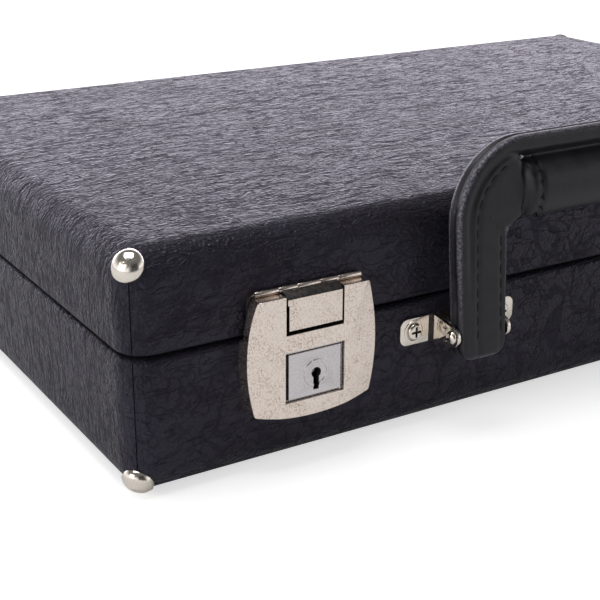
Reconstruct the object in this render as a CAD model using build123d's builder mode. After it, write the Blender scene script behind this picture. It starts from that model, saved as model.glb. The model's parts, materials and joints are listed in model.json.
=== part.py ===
from build123d import *
from math import cos, radians, sin, sqrt
import os

# Recorder case: a board box covered in leather, with a lid hinged at the back, two lever locks
# at the front, a leather carrying handle between them and dome nails on the eight corners.
# Millimetres. X runs along the front, Y from front to back, Z up. The origin is the centre of
# the underside, which is the face that the case rests on.

# Case
case_length = 360.0
case_depth = 225.0
case_height = 75.0
seam_height = 43.8
seam_gap = 1.0
edge_radius = 9.6
seam_edge_radius = 1.8
board_thickness = 5.0
leather_thickness = 1.2
hem_thickness = 0.5
hem_depth = 8.0
bottom_panel_inset = 14.0
corner_seam_width = 0.35
corner_seam_depth = 0.5
stud_seam_overlap = 6.0

# Lining and recorder bed
fit_gap = 0.05
lining_gap = 0.2
rim_thickness = 1.6
rim_rise = 3.5
rim_corner_radius = 1.5
floor_pad_thickness = 3.0
lid_lining_thickness = 0.6
lid_lining_clearance = 1.0
lid_pad_thickness = 8.0
lid_pad_edge = 5.0
lid_pad_crown = 2.0
divider_height = 23.0
divider_base_width = 12.0
divider_top_width = 7.0
divider_edge_radius = 2.5
treble_row_width = 52.0
middle_joint_row_width = 44.0
descant_row_width = 38.0
block_thickness = 12.0
head_joint_well = 218.0
middle_joint_well = 270.0
descant_body_well = 208.0

# Corner nails
stud_radius = 4.9
stud_height = 2.6
stud_rim = 0.1
stud_shoulder_radius = 3.04
stud_shoulder_height = 1.92
stud_shank_radius = 0.7
stud_shank_length = 3.5
stud_hole_room = 1.0
stud_lean = 1.13

# Locks
lock_inset = 57.7
lock_top = 56.1
lock_bottom = 19.5
lock_bottom_sag = 2.9
lock_bulge_height = 38.0
lock_top_half = 19.5
lock_bulge_half = 23.0
lock_bottom_half = 20.5
lock_depth = 5.6
lock_wall = 0.8
lock_side_taper = 0.9
lock_corner_radius = 1.2
facet_far = 24.0
facet_top_start = 18.4
facet_top_drop = 1.85
facet_fade_height = 37.0
facet_low_start = 11.5
facet_low_drop = 1.55
hasp_slot_half = 9.95
hasp_slot_bottom = 44.1
slot_wall = 0.7
lid_clearance = 1.5
window_half = 10.25
window_low = 22.4
window_high = 38.5
button_gap = 0.7
button_recess = 0.3
button_flange = 0.9
button_lip = 0.75
button_edge_radius = 0.3
keyhole_side = 0.5
keyhole_height = 30.2
keyhole_radius = 1.65
keyhole_slot_width = 1.9
keyhole_slot_drop = 5.4
keyhole_ring_radius = 4.35
keyhole_ring_width = 0.9
keyhole_ring_rise = 0.3
back_plate_thickness = 0.8
back_plate_gap = 0.5
back_plate_top = 43.2
back_plate_room = 0.6
key_post_radius = 0.7
key_post_top = 3.3
lid_plate_low = 46.4
lid_plate_half = 20.2
lid_plate_corner = 2.5
knuckle_radius = 0.95
hasp_axis_height = 57.0
hasp_axis_out = 1.15
hasp_pin_radius = 0.45
knuckle_gap = 0.15
barrel_half = 18.2
hasp_knuckle_inner = 4.0
hasp_knuckle_outer = 10.2
hasp_sheet = 0.9
hasp_gap = 0.6
hasp_bottom_gap = 0.9
hasp_flush = 0.1
hasp_bevel = 0.9
hasp_bevel_inner = 1.25
hasp_shoulder_drop = 1.0
hasp_leaf_rise = 0.9
hasp_web_reach = 0.2
hasp_web_half = 0.7
lug_thickness = 1.6
lug_low = 46.0
lug_high = 50.6
bolt_lug_x = -6.8
catch_lug_x = 5.6
lug_back = 1.4
bolt_height = 48.2
bolt_finger_width = 2.0
bolt_finger_thickness = 1.4
bolt_finger_back = 2.2
bolt_bar_left = -17.6
bolt_bar_width = 2.4
bolt_bar_low = 33.0
bolt_step_low = 40.6
bolt_talon_height = 2.6
bolt_talon_end = -5.5
bolt_plate_back = 0.9
bolt_plate_thickness = 1.4
bolt_finger_end = -9.9
bolt_hole_gap = 0.2
spring_thickness = 0.35
spring_left = 3.0
spring_width = 5.2
spring_foot_low = 18.6
spring_foot_high = 22.0
spring_crest_height = 31.0
spring_crest_out = 1.95
spring_nose_height = 45.6
spring_nose_out = 1.2
spring_nose_length = 5.0
spring_nose_room = 2.0
rivet_radius = 1.0
rivet_head_radius = 1.7
rivet_head = 0.5
rivet_tail_radius = 2.0
rivet_tail = 0.7
shank_gap = 0.05
rivet_spread = 14.5
back_plate_rivet_heights = (23.0, 29.5)
spring_rivet_height = 20.2
lid_plate_rivet_height = 51.4

# Handle and its brackets
bracket_inset = 114.6
bracket_height = 33.6
bracket_length = 45.3
bracket_width = 8.8
bracket_plate = 1.0
bracket_corner = 2.6
ear_thickness = 1.25
ear_outer = 10.6
ear_tip_radius = 3.2
ear_root_width = 9.6
ear_bend_radius = 1.2
handle_axis_out = 11.2
handle_pin_radius = 1.2
pin_head_radius = 2.1
pin_head_height = 1.1
pin_head_edge = 0.8
bush_wall = 0.55
running_gap = 0.05
screw_inset = 5.3
screw_head_radius = 2.8
screw_head_height = 1.3
screw_head_edge = 0.85
screw_ring_radius = 3.8
screw_ring_width = 0.7
screw_ring_rise = 0.3
screw_shank_radius = 1.3
screw_shank_length = 5.0
handle_lean = 5.0
handle_thickness = 6.7
handle_core = 0.6
handle_core_inset = 2.0
core_foot_rise = 2.6
leg_half_width = 9.5
leg_foot_half = 8.4
leg_foot_drop = 8.1
leg_foot_radius = 4.5
leg_straight_from = 26.0
handle_rise = 60.6
handle_corner_radius = 26.0
handle_inner_rise = 35.0
handle_inner_radius = 6.0
grip_rise = 43.3
grip_half_height = 9.5
grip_half_thickness = 6.9
grip_start = 15.5
grip_end_radius = 3.0
flange_groove_rise = 54.3
flange_groove_radius = 2.2
flange_groove_depth = 0.9

# Back hinges
hinge_inset = 70.0
hinge_width = 42.0
hinge_leaf = 15.0
hinge_leaf_thickness = 1.0
hinge_corner = 2.0
hinge_knuckle_radius = 2.2
hinge_pin_radius = 1.1
hinge_knuckles = 5
hinge_knuckle_gap = 0.2
hinge_screw_radius = 2.4
hinge_screw_shank = 1.1
hinge_screw_length = 4.6
hinge_screw_spread = 14.0

# Sizes that follow
base_top = seam_height - seam_gap / 2
lid_low = seam_height + seam_gap / 2
wall = leather_thickness + board_thickness
inner_length = case_length - 2 * wall
inner_depth = case_depth - 2 * wall
front_y = -case_depth / 2
back_y = case_depth / 2
lock_xs = {"left": -case_length / 2 + lock_inset, "right": case_length / 2 - lock_inset}
bracket_xs = {"left": -case_length / 2 + bracket_inset, "right": case_length / 2 - bracket_inset}
hinge_xs = {"left": -case_length / 2 + hinge_inset, "right": case_length / 2 - hinge_inset}
button_lip_front = lock_depth - lock_wall - lining_gap


def save(part, name):
    part.label = name
    export_step(part, f"parts/{name}.step")


def face_plane(x=0.0, out=0.0):
    """The case's front face, looked at from outside: sketch X is the case's X, sketch Y its Z."""
    return Plane(origin=(x, front_y - out, 0), x_dir=(1, 0, 0), z_dir=(0, -1, 0))


def back_plane(x=0.0, out=0.0):
    """The case's back face, looked at from outside."""
    return Plane(origin=(x, back_y + out, 0), x_dir=(-1, 0, 0), z_dir=(0, 1, 0))


def side_plane(x):
    """A plane across the case: sketch X is the distance out from the front face, sketch Y is Z."""
    return Plane(origin=(x, front_y, 0), x_dir=(0, -1, 0), z_dir=(-1, 0, 0))


def rounded_half(inset, low, high, closed_end):
    """One half of the case as a block, drawn in by inset, with its corners and one end rounded."""
    with BuildPart() as block:
        with BuildSketch(Plane.XY.offset(low)):
            Rectangle(case_length - 2 * inset, case_depth - 2 * inset)
        extrude(amount=high - low)
        uprights = block.edges().filter_by(Axis.Z)
        end_edges = block.faces().sort_by(Axis.Z)[closed_end].edges()
        fillet(uprights + end_edges, edge_radius - inset)
    return block.part


def corner_axes(z_sign):
    """The four corners of one half: the seat of each nail and the direction it points."""
    level = edge_radius if z_sign < 0 else case_height - edge_radius
    axes = []
    for x_sign in (-1, 1):
        for y_sign in (-1, 1):
            ball_centre = Vector(
                x_sign * (case_length / 2 - edge_radius),
                y_sign * (case_depth / 2 - edge_radius),
                level,
            )
            points_to = Vector(x_sign * stud_lean, y_sign / stud_lean, z_sign).normalized()
            axes.append(Plane(origin=ball_centre + points_to * edge_radius, z_dir=points_to))
    return axes


def rivet_points(side):
    """Rivets of one lock's back plate, on the front face."""
    x = lock_xs[side]
    points = [(x + s * rivet_spread, z) for s in (-1, 1) for z in back_plate_rivet_heights]
    return points + [(x + spring_left + spring_width / 2, spring_rivet_height)]


def lid_rivet_points(side):
    return [(lock_xs[side] + s * rivet_spread, lid_plate_rivet_height) for s in (-1, 0, 1)]


def screw_points():
    """Bracket screws, on the front face."""
    reach = bracket_length / 2 - screw_inset
    return [(x + s * reach, bracket_height) for x in bracket_xs.values() for s in (-1, 1)]


def hinge_screw_points(leaf_sign):
    """Screws of the back hinges, on the back face, whose sketch X runs the other way."""
    level = seam_height + leaf_sign * (hinge_knuckle_radius + hinge_leaf / 2)
    return [
        (-(x + s * hinge_screw_spread), level) for x in hinge_xs.values() for s in (-1, 0, 1)
    ]


base_rivets = rivet_points("left") + rivet_points("right")
lid_rivets = lid_rivet_points("left") + lid_rivet_points("right")


def cut_front_holes(rivets, screws, depth):
    """Rivet and screw holes through a piece of the front wall, from inside the current part."""
    with BuildSketch(face_plane(out=1)) as holes:
        with Locations(*rivets):
            Circle(rivet_radius + shank_gap)
        if screws:
            with Locations(*screws):
                Circle(screw_shank_radius + shank_gap)
    extrude(holes.sketch, amount=-depth - 1, mode=Mode.SUBTRACT)


def cut_rivet_seats(rivets):
    """Seats for the rivets' tails in the inner face of the front board."""
    with BuildSketch(face_plane(out=-wall)) as seats:
        with Locations(*rivets):
            Circle(rivet_tail_radius + shank_gap)
    extrude(seats.sketch, amount=rivet_tail + shank_gap, mode=Mode.SUBTRACT)


def cut_back_holes(points, depth):
    with BuildSketch(back_plane(out=1)) as holes:
        with Locations(*points):
            Circle(hinge_screw_shank + shank_gap)
    extrude(holes.sketch, amount=-depth - 1, mode=Mode.SUBTRACT)


def cut_stud_holes(z_sign):
    for axis in corner_axes(z_sign):
        with BuildSketch(axis.offset(-stud_shank_length - stud_hole_room)) as hole:
            Circle(stud_shank_radius + fit_gap)
        reach = stud_shank_length + stud_hole_room + stud_height
        extrude(hole.sketch, amount=reach, mode=Mode.SUBTRACT)


# Boards
board_form = {
    "base": rounded_half(leather_thickness, leather_thickness, base_top - leather_thickness, 0),
    "lid": rounded_half(
        leather_thickness, lid_low + leather_thickness, case_height - leather_thickness, -1
    ),
}
panel_span = {
    "base": (leather_thickness, wall),
    "lid": (case_height - wall, case_height - leather_thickness),
}
wall_span = {
    "base": (wall, base_top - leather_thickness),
    "lid": (lid_low + leather_thickness, case_height - wall),
}
stud_sign = {"base": -1, "lid": 1}
hinge_screws = {"base": hinge_screw_points(-1), "lid": hinge_screw_points(1)}
front_rivets = {"base": base_rivets, "lid": lid_rivets}
panel_name = {"base": "base_bottom_board", "lid": "lid_top_board"}

for half in ("base", "lid"):
    low, high = panel_span[half]
    with BuildPart() as panel_board:
        with BuildSketch(Plane.XY.offset(low)):
            Rectangle(case_length, case_depth)
        extrude(amount=high - low)
        add(board_form[half], mode=Mode.INTERSECT)
        cut_stud_holes(stud_sign[half])
    save(panel_board.part, panel_name[half])

    low, high = wall_span[half]
    for name, y in (("front", -1), ("back", 1)):
        with BuildPart() as long_board:
            with BuildSketch(Plane.XY.offset(low)):
                with Locations((0, y * (case_depth - wall) / 2)):
                    Rectangle(case_length, wall)
            extrude(amount=high - low)
            add(board_form[half], mode=Mode.INTERSECT)
            cut_stud_holes(stud_sign[half])
            if name == "front":
                cut_front_holes(front_rivets[half], screw_points() if half == "base" else [], wall)
                cut_rivet_seats(front_rivets[half])
            else:
                cut_back_holes(hinge_screws[half], wall)
        save(long_board.part, f"{half}_{name}_board")

    for name, x in (("left", -1), ("right", 1)):
        with BuildPart() as end_board:
            with BuildSketch(Plane.XY.offset(low)):
                with Locations((x * (case_length - wall) / 2, 0)):
                    Rectangle(wall, inner_depth)
            extrude(amount=high - low)
            add(board_form[half], mode=Mode.INTERSECT)
            cut_stud_holes(stud_sign[half])
        save(end_board.part, f"{half}_{name}_board")


# Leather covers, with the butt seam at each corner that ends under the corner nail
def cut_corner_seams(low, high):
    reach = edge_radius * (1 - 1 / sqrt(2))
    for x_sign in (-1, 1):
        for y_sign in (-1, 1):
            point = (x_sign * (case_length / 2 - reach), y_sign * (case_depth / 2 - reach), low)
            across = Plane(origin=point, x_dir=(x_sign, y_sign, 0), z_dir=(0, 0, 1))
            with BuildSketch(across) as groove:
                Rectangle(2 * corner_seam_depth, corner_seam_width)
            extrude(groove.sketch, amount=high - low, mode=Mode.SUBTRACT)


with BuildPart() as base_leather:
    add(rounded_half(0, 0, base_top, 0))
    fillet(base_leather.faces().sort_by(Axis.Z)[-1].edges(), seam_edge_radius)
    add(board_form["base"], mode=Mode.SUBTRACT)
    with BuildSketch(Plane.XY):
        Rectangle(case_length - 2 * bottom_panel_inset, case_depth - 2 * bottom_panel_inset)
    extrude(amount=leather_thickness, mode=Mode.SUBTRACT)
    with BuildSketch(Plane.XY.offset(base_top)):
        Rectangle(inner_length - 2 * hem_thickness, inner_depth - 2 * hem_thickness)
    extrude(amount=-leather_thickness, mode=Mode.SUBTRACT)
    with BuildSketch(Plane.XY.offset(base_top - leather_thickness)):
        Rectangle(inner_length, inner_depth)
        Rectangle(inner_length - 2 * hem_thickness, inner_depth - 2 * hem_thickness, mode=Mode.SUBTRACT)
    extrude(amount=-hem_depth)
    cut_stud_holes(-1)
    cut_front_holes(base_rivets, screw_points(), leather_thickness)
    cut_back_holes(hinge_screws["base"], leather_thickness)
    cut_corner_seams(stud_seam_overlap, base_top)
save(base_leather.part, "base_leather")

with BuildPart() as base_leather_bottom:
    with BuildSketch(Plane.XY):
        Rectangle(
            case_length - 2 * bottom_panel_inset - 2 * lining_gap,
            case_depth - 2 * bottom_panel_inset - 2 * lining_gap,
        )
    extrude(amount=leather_thickness)
save(base_leather_bottom.part, "base_leather_bottom")

with BuildPart() as lid_leather:
    add(rounded_half(0, lid_low, case_height, -1))
    fillet(lid_leather.faces().sort_by(Axis.Z)[0].edges(), seam_edge_radius)
    add(board_form["lid"], mode=Mode.SUBTRACT)
    with BuildSketch(Plane.XY.offset(lid_low)):
        Rectangle(inner_length, inner_depth)
    extrude(amount=leather_thickness, mode=Mode.SUBTRACT)
    cut_stud_holes(1)
    cut_front_holes(lid_rivets, [], leather_thickness)
    cut_back_holes(hinge_screws["lid"], leather_thickness)
    cut_corner_seams(lid_low, case_height - stud_seam_overlap)
save(lid_leather.part, "lid_leather")

# Corner nails: shanked domes whose undersides follow the rounded corner
for half, z_sign in stud_sign.items():
    rim_radius = stud_radius - stud_rim
    rim_out = fit_gap - edge_radius + sqrt(edge_radius**2 - rim_radius**2)
    middle_out = fit_gap - edge_radius + sqrt(edge_radius**2 - rim_radius**2 / 4)
    with BuildPart() as studs:
        for axis in corner_axes(z_sign):
            section = Plane(origin=axis.origin, x_dir=axis.x_dir, z_dir=axis.y_dir * -1)
            with BuildSketch(section):
                with BuildLine():
                    Line((0, fit_gap), (0, stud_height))
                    ThreePointArc(
                        (0, stud_height),
                        (stud_shoulder_radius, stud_shoulder_height),
                        (stud_radius, 0),
                    )
                    Line((stud_radius, 0), (rim_radius, rim_out))
                    ThreePointArc((rim_radius, rim_out), (rim_radius / 2, middle_out), (0, fit_gap))
                make_face()
            revolve(axis=Axis(axis.origin, axis.z_dir))
            with BuildSketch(axis.offset(-stud_shank_length)):
                Circle(stud_shank_radius)
            extrude(amount=stud_shank_length + 0.5)
    save(studs.part, f"{half}_studs")

# Locating rim, lining and the padded bed that holds the joints of the recorders
rim_length = inner_length - 2 * hem_thickness - 2 * fit_gap
rim_depth = inner_depth - 2 * hem_thickness - 2 * fit_gap
bed_length = rim_length - 2 * rim_thickness
bed_depth = rim_depth - 2 * rim_thickness
bed_floor = wall + floor_pad_thickness
rim_top = seam_height + rim_rise

with BuildPart() as locating_rim:
    with BuildSketch(Plane.XY.offset(wall)):
        RectangleRounded(rim_length, rim_depth, rim_corner_radius)
        Rectangle(bed_length, bed_depth, mode=Mode.SUBTRACT)
    extrude(amount=rim_top - wall)
save(locating_rim.part, "locating_rim")

with BuildPart() as floor_pad:
    with BuildSketch(Plane.XY.offset(wall)):
        Rectangle(bed_length - 2 * lining_gap, bed_depth - 2 * lining_gap)
    extrude(amount=floor_pad_thickness)
save(floor_pad.part, "floor_pad")

row_edges = [-bed_depth / 2]
for row_width in (treble_row_width, middle_joint_row_width, descant_row_width):
    row_edges.append(row_edges[-1] + row_width)
    row_edges.append(row_edges[-1] + divider_base_width)
row_edges.append(bed_depth / 2)
side_slope = (divider_base_width - divider_top_width) / 2 / divider_height

for index, name in enumerate(("front", "middle", "back")):
    centre = (row_edges[2 * index + 1] + row_edges[2 * index + 2]) / 2
    with BuildPart() as long_divider:
        end = Plane(
            origin=(-bed_length / 2 + lining_gap, centre, bed_floor), x_dir=(0, 1, 0), z_dir=(1, 0, 0)
        )
        with BuildSketch(end):
            with BuildLine():
                Polyline(
                    (-divider_base_width / 2, 0),
                    (divider_base_width / 2, 0),
                    (divider_top_width / 2, divider_height),
                    (-divider_top_width / 2, divider_height),
                    close=True,
                )
            make_face()
        extrude(amount=bed_length - 2 * lining_gap)
        top_edges = long_divider.faces().sort_by(Axis.Z)[-1].edges().filter_by(Axis.X)
        fillet(top_edges, divider_edge_radius)
    save(long_divider.part, f"long_divider_{name}")

wells = (head_joint_well, middle_joint_well, descant_body_well)
for index, name in enumerate(("front", "middle", "back")):
    low_edge = row_edges[2 * index]
    high_edge = row_edges[2 * index + 1]
    low_slope = 0 if index == 0 else side_slope
    start = -bed_length / 2 + wells[index]
    with BuildPart() as cross_block:
        with BuildSketch(Plane(origin=(start, 0, bed_floor), x_dir=(0, 1, 0), z_dir=(1, 0, 0))):
            with BuildLine():
                Polyline(
                    (low_edge + lining_gap, 0),
                    (high_edge - lining_gap, 0),
                    (high_edge - lining_gap + side_slope * divider_height, divider_height),
                    (low_edge + lining_gap - low_slope * divider_height, divider_height),
                    close=True,
                )
            make_face()
        extrude(amount=block_thickness)
        top_edges = cross_block.faces().sort_by(Axis.Z)[-1].edges().filter_by(Axis.Y)
        fillet(top_edges, divider_edge_radius)
    save(cross_block.part, f"cross_block_{name}")

lining_low = rim_top + lid_lining_clearance
with BuildPart() as lid_lining:
    with BuildSketch(Plane.XY.offset(lining_low)):
        Rectangle(inner_length - 2 * fit_gap, inner_depth - 2 * fit_gap)
        Rectangle(
            inner_length - 2 * lid_lining_thickness,
            inner_depth - 2 * lid_lining_thickness,
            mode=Mode.SUBTRACT,
        )
    extrude(amount=case_height - wall - fit_gap - lining_low)
save(lid_lining.part, "lid_lining")

pad_length = inner_length - 2 * lid_lining_thickness - 2 * lining_gap
pad_depth = inner_depth - 2 * lid_lining_thickness - 2 * lining_gap
pad_top = case_height - wall - fit_gap
with BuildPart() as lid_pad:
    with BuildSketch(Plane.XY.offset(pad_top)):
        RectangleRounded(pad_length, pad_depth, lid_pad_edge)
    with BuildSketch(Plane.XY.offset(pad_top - lid_pad_thickness + lid_pad_crown)):
        RectangleRounded(pad_length - lid_pad_edge, pad_depth - lid_pad_edge, lid_pad_edge)
    with BuildSketch(Plane.XY.offset(pad_top - lid_pad_thickness)):
        RectangleRounded(pad_length - 6 * lid_pad_edge, pad_depth - 6 * lid_pad_edge, lid_pad_edge)
    loft(ruled=True)
save(lid_pad.part, "lid_pad")


# Locks
def lock_section(x, out, inset, taper):
    """The lock's outline at one distance out from the case, drawn in by inset and taper."""
    top_half = lock_top_half - inset - taper / 2
    bulge_half = lock_bulge_half - inset - taper
    bottom_half = lock_bottom_half - inset - taper / 2
    top = lock_top - inset
    bottom = lock_bottom + inset + taper / 3
    with BuildSketch(face_plane(x, out)) as section:
        with BuildLine():
            Line((-top_half, top), (top_half, top))
            ThreePointArc((top_half, top), (bulge_half, lock_bulge_height), (bottom_half, bottom))
            ThreePointArc((bottom_half, bottom), (0, bottom - lock_bottom_sag), (-bottom_half, bottom))
            ThreePointArc((-bottom_half, bottom), (-bulge_half, lock_bulge_height), (-top_half, top))
        make_face()
    return section.sketch


def front_box(x, u_low, u_high, z_low, z_high, out_low, out_high, mode=Mode.ADD):
    """A block on the front face, given by its span across, up and out."""
    with BuildSketch(face_plane(x, out_low)) as side:
        with Locations(((u_low + u_high) / 2, (z_low + z_high) / 2)):
            Rectangle(u_high - u_low, z_high - z_low)
    extrude(side.sketch, amount=out_high - out_low, mode=mode)


def cut_facets(x, depth):
    """Slopes the sides of the front back towards the case, with a crease that fades lower down."""
    levels = (
        (lock_top + 1, facet_top_start, facet_top_drop),
        (facet_fade_height, facet_low_start, facet_low_drop),
        (lock_bottom - lock_bottom_sag - 1, facet_low_start, facet_low_drop),
    )
    for sign in (-1, 1):
        wedges = []
        for level, start, drop in levels:
            across = Plane(origin=(x, front_y - depth, level), x_dir=(1, 0, 0), z_dir=(0, 0, 1))
            with BuildSketch(across) as wedge:
                with BuildLine():
                    Polyline(
                        (sign * start, 0),
                        (sign * facet_far, drop),
                        (sign * facet_far, -1),
                        (sign * start, -1),
                        close=True,
                    )
                make_face()
            wedges.append(wedge.sketch)
        loft(wedges, ruled=True, mode=Mode.SUBTRACT)


def lock_cover(x):
    """H-shaped cover: two columns that rise past the seam, a crossbar and a bottom bar."""
    with BuildPart() as cavity:
        loft(
            [
                lock_section(x, -1, lock_wall, 0),
                lock_section(x, lock_depth - lock_wall, lock_wall, lock_side_taper),
            ],
            ruled=True,
        )
        cut_facets(x, lock_depth - lock_wall)
        for sign in (-1, 1):
            edges = sorted((sign * hasp_slot_half, sign * (hasp_slot_half + slot_wall)))
            front_box(
                x, *edges, hasp_slot_bottom - slot_wall, lock_top, lid_clearance, lock_depth,
                mode=Mode.SUBTRACT,
            )
        front_box(
            x, -hasp_slot_half, hasp_slot_half, hasp_slot_bottom - slot_wall, hasp_slot_bottom,
            spring_nose_out + spring_nose_room, lock_depth, mode=Mode.SUBTRACT,
        )
    with BuildPart() as cover:
        loft([lock_section(x, 0, 0, 0), lock_section(x, lock_depth, 0, lock_side_taper)], ruled=True)
        corners = cover.edges().filter_by(lambda e: abs(e.tangent_at(0.5).Y) > 0.5)
        fillet(corners, lock_corner_radius)
        cut_facets(x, lock_depth)
        add(cavity.part, mode=Mode.SUBTRACT)
        front_box(
            x, -hasp_slot_half, hasp_slot_half, hasp_slot_bottom, lock_top + 1, -1, lock_depth + 1,
            mode=Mode.SUBTRACT,
        )
        front_box(
            x, -window_half, window_half, window_low, window_high, button_lip_front, lock_depth + 1,
            mode=Mode.SUBTRACT,
        )
        front_box(
            x, -lock_bulge_half - 1, lock_bulge_half + 1, back_plate_top + back_plate_room, lock_top + 1,
            -1, lid_clearance, mode=Mode.SUBTRACT,
        )
        finger_half = bolt_finger_width / 2 + bolt_hole_gap
        front_box(
            x, -hasp_slot_half - slot_wall - 0.1, -hasp_slot_half + 0.1,
            bolt_height - finger_half, bolt_height + finger_half,
            bolt_finger_back - bolt_hole_gap, bolt_finger_back + bolt_finger_thickness + bolt_hole_gap,
            mode=Mode.SUBTRACT,
        )
    return cover.part


def lock_back_plate(x, side):
    """Steel plate under the cover, with the post that the key turns on."""
    with BuildPart() as plate:
        extrude(lock_section(x, 0, lock_wall + back_plate_gap, 0), amount=back_plate_thickness)
        front_box(
            x, -lock_bulge_half, lock_bulge_half, back_plate_top, lock_top, -1, lock_depth,
            mode=Mode.SUBTRACT,
        )
        with BuildSketch(face_plane(x, back_plate_thickness)):
            with Locations((keyhole_side, keyhole_height)):
                Circle(key_post_radius)
        extrude(amount=key_post_top - back_plate_thickness)
        with BuildSketch(face_plane(out=-1)):
            with Locations(*rivet_points(side)):
                Circle(rivet_radius + shank_gap)
        extrude(amount=back_plate_thickness + 2, mode=Mode.SUBTRACT)
    return plate.part


def lock_button(x):
    """Keyhole plate in the window, with the lip behind it that keeps it in."""
    face_out = lock_depth - button_recess
    with BuildPart() as button:
        front_box(
            x, -window_half - button_lip, window_half + button_lip,
            window_low - button_lip, window_high + button_lip,
            button_lip_front - button_flange, button_lip_front,
        )
        front_box(
            x, -window_half + button_gap, window_half - button_gap,
            window_low + button_gap, window_high - button_gap, button_lip_front, face_out,
        )
        fillet(button.faces().sort_by(Axis.Y)[0].edges(), button_edge_radius)
        with BuildSketch(face_plane(x, face_out)):
            with Locations((keyhole_side, keyhole_height)):
                Circle(keyhole_ring_radius)
                Circle(keyhole_ring_radius - keyhole_ring_width, mode=Mode.SUBTRACT)
        extrude(amount=keyhole_ring_rise)
        with BuildSketch(face_plane(x, lock_depth)):
            with Locations((keyhole_side, keyhole_height)):
                Circle(keyhole_radius)
            with Locations((keyhole_side, keyhole_height - keyhole_slot_drop / 2)):
                Rectangle(keyhole_slot_width, keyhole_slot_drop)
        extrude(amount=-lock_depth, mode=Mode.SUBTRACT)
    return button.part


def lock_bolt(x):
    """Flat bolt that the key throws sideways: talon below, finger above."""
    bar_right = bolt_bar_left + bolt_bar_width
    finger_low = bolt_height - bolt_finger_width / 2
    finger_high = bolt_height + bolt_finger_width / 2
    finger_front = bolt_finger_back + bolt_finger_thickness
    plate_front = bolt_plate_back + bolt_plate_thickness
    with BuildPart() as bolt:
        front_box(
            x, bolt_bar_left, bar_right, bolt_bar_low, back_plate_top, bolt_plate_back, plate_front
        )
        front_box(
            x, bolt_bar_left, bolt_talon_end, bolt_bar_low, bolt_bar_low + bolt_talon_height,
            bolt_plate_back, plate_front,
        )
        front_box(
            x, bolt_bar_left, bar_right, bolt_step_low, back_plate_top, bolt_plate_back, finger_front
        )
        front_box(
            x, bolt_bar_left, bar_right, bolt_step_low, finger_high, bolt_finger_back, finger_front
        )
        front_box(
            x, bolt_bar_left, bolt_finger_end, finger_low, finger_high, bolt_finger_back, finger_front
        )
    return bolt.part


def catch_spring(x):
    """Leaf spring behind the button: riveted foot, crest under the button, nose under the hasp."""
    foot_out = back_plate_thickness
    with BuildPart() as spring:
        with BuildSketch(side_plane(x + spring_left + spring_width)):
            with BuildLine():
                Polyline(
                    (foot_out, spring_foot_low),
                    (foot_out, spring_foot_high),
                    (spring_crest_out, spring_crest_height),
                    (spring_nose_out, spring_nose_height - spring_nose_length),
                    (spring_nose_out, spring_nose_height),
                    (spring_nose_out + spring_thickness, spring_nose_height),
                    (spring_nose_out + spring_thickness, spring_nose_height - spring_nose_length),
                    (spring_crest_out + spring_thickness, spring_crest_height),
                    (foot_out + spring_thickness, spring_foot_high),
                    (foot_out + spring_thickness, spring_foot_low),
                    close=True,
                )
            make_face()
        extrude(amount=spring_width)
        with BuildSketch(face_plane(x)):
            with Locations((spring_left + spring_width / 2, spring_rivet_height)):
                Circle(rivet_radius + shank_gap)
        extrude(amount=lock_depth, mode=Mode.SUBTRACT)
    return spring.part


def barrel_spans(owner):
    """Knuckle spans of the hasp hinge: three on the lid plate, two on the hasp."""
    inner = hasp_knuckle_inner
    outer = hasp_knuckle_outer
    if owner == "hasp":
        return [(-outer, -inner), (inner, outer)]
    gap = knuckle_gap
    return [(-barrel_half, -outer - gap), (-inner + gap, inner - gap), (outer + gap, barrel_half)]


def add_knuckles(x, spans):
    for low, high in spans:
        with BuildSketch(side_plane(x + high)) as end:
            with Locations((hasp_axis_out, hasp_axis_height)):
                Circle(knuckle_radius)
        extrude(end.sketch, amount=high - low)


def cut_pin_hole(x):
    with BuildSketch(side_plane(x + barrel_half + 1)) as bore:
        with Locations((hasp_axis_out, hasp_axis_height)):
            Circle(hasp_pin_radius + running_gap)
    extrude(bore.sketch, amount=2 * barrel_half + 2, mode=Mode.SUBTRACT)


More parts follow.
